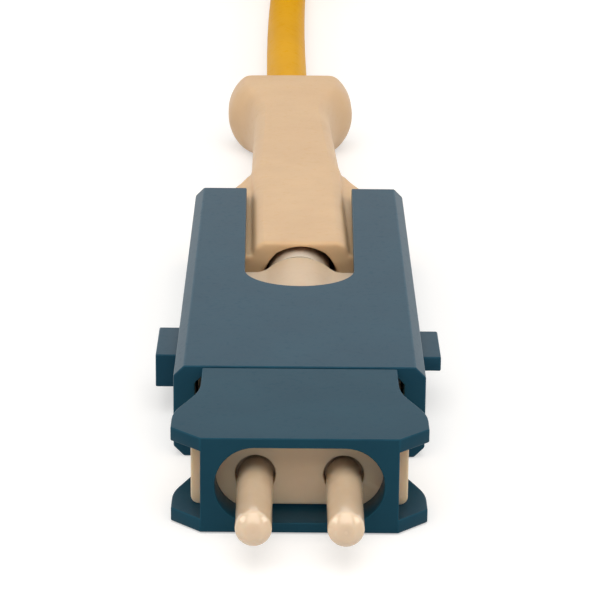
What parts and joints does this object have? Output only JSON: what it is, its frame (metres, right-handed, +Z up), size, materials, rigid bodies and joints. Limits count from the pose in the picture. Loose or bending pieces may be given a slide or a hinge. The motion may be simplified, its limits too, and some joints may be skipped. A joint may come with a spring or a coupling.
{
  "type": "duplex fibre-optic cable with push-pull plugs",
  "caption": "Slim push-pull fibre plug with paired ferrules, a sliding latch sleeve and a cream grip boot, on a round yellow cable that is put away in a tied hank.",
  "frame": {"origin": "middle of the near plug's box, on the surface it lies on", "axes": "+X to the plug's right seen from its nose with the boot behind, +Y from the nose to the boot, +Z up"},
  "size_m": [0.0199, 0.2197, 0.0113],
  "materials": {
    "blue_plastic": "satin",
    "cream_plastic": "satin",
    "ferrule_white": "polished",
    "ring_metal": "satin, plated",
    "spring_steel": "bright",
    "fibre_coating": "smooth",
    "jacket": "satin",
    "strap": "matt"
  },
  "bodies": {
    "core": {"front_body": "blue_plastic", "ferrule_holder": "cream_plastic", "back_body": "cream_plastic", "crimp_ring": "ring_metal", "fibre_left": "fibre_coating", "fibre_right": "fibre_coating", "spring_left": "spring_steel", "spring_right": "spring_steel", "far_front_body": "blue_plastic", "far_ferrule_holder": "cream_plastic", "far_back_body": "cream_plastic", "far_crimp_ring": "ring_metal", "far_fibre_left": "fibre_coating", "far_fibre_right": "fibre_coating", "far_spring_left": "spring_steel", "far_spring_right": "spring_steel", "cable_run": "jacket", "cable_hank": "jacket", "cable_tail": "jacket", "cable_tie": "strap"},
    "sleeve": {"outer_housing": "blue_plastic", "boot": "cream_plastic"},
    "ferrule_left_unit": {"ferrule_left": "ferrule_white", "ferrule_hub_left": "ring_metal"},
    "ferrule_right_unit": {"ferrule_right": "ferrule_white", "ferrule_hub_right": "ring_metal"},
    "far_sleeve": {"far_outer_housing": "blue_plastic", "far_boot": "cream_plastic"},
    "far_ferrule_left_unit": {"far_ferrule_left": "ferrule_white", "far_ferrule_hub_left": "ring_metal"},
    "far_ferrule_right_unit": {"far_ferrule_right": "ferrule_white", "far_ferrule_hub_right": "ring_metal"}
  },
  "joints": [
    {"name": "sleeve_release", "type": "slide", "parent": "core", "child": "sleeve", "axis": [0, 1, 0], "range_m": [0, 0.0012]},
    {"name": "ferrule_left_push", "type": "slide", "parent": "core", "child": "ferrule_left_unit", "axis": [0, 1, 0], "range_m": [0, 0.0007], "stiffness_N_per_m": 2500, "springref_m": -0.002, "deforming": ["spring_left"]},
    {"name": "ferrule_right_push", "type": "slide", "parent": "core", "child": "ferrule_right_unit", "axis": [0, 1, 0], "range_m": [0, 0.0007], "stiffness_N_per_m": 2500, "springref_m": -0.002, "deforming": ["spring_right"]},
    {"name": "far_sleeve_release", "type": "slide", "parent": "core", "child": "far_sleeve", "axis": [0, -1, 0], "range_m": [0, 0.0012]},
    {"name": "far_ferrule_left_push", "type": "slide", "parent": "core", "child": "far_ferrule_left_unit", "axis": [0, -1, 0], "range_m": [0, 0.0007], "stiffness_N_per_m": 2500, "springref_m": -0.002, "deforming": ["far_spring_left"]},
    {"name": "far_ferrule_right_push", "type": "slide", "parent": "core", "child": "far_ferrule_right_unit", "axis": [0, -1, 0], "range_m": [0, 0.0007], "stiffness_N_per_m": 2500, "springref_m": -0.002, "deforming": ["far_spring_right"]}
  ]
}
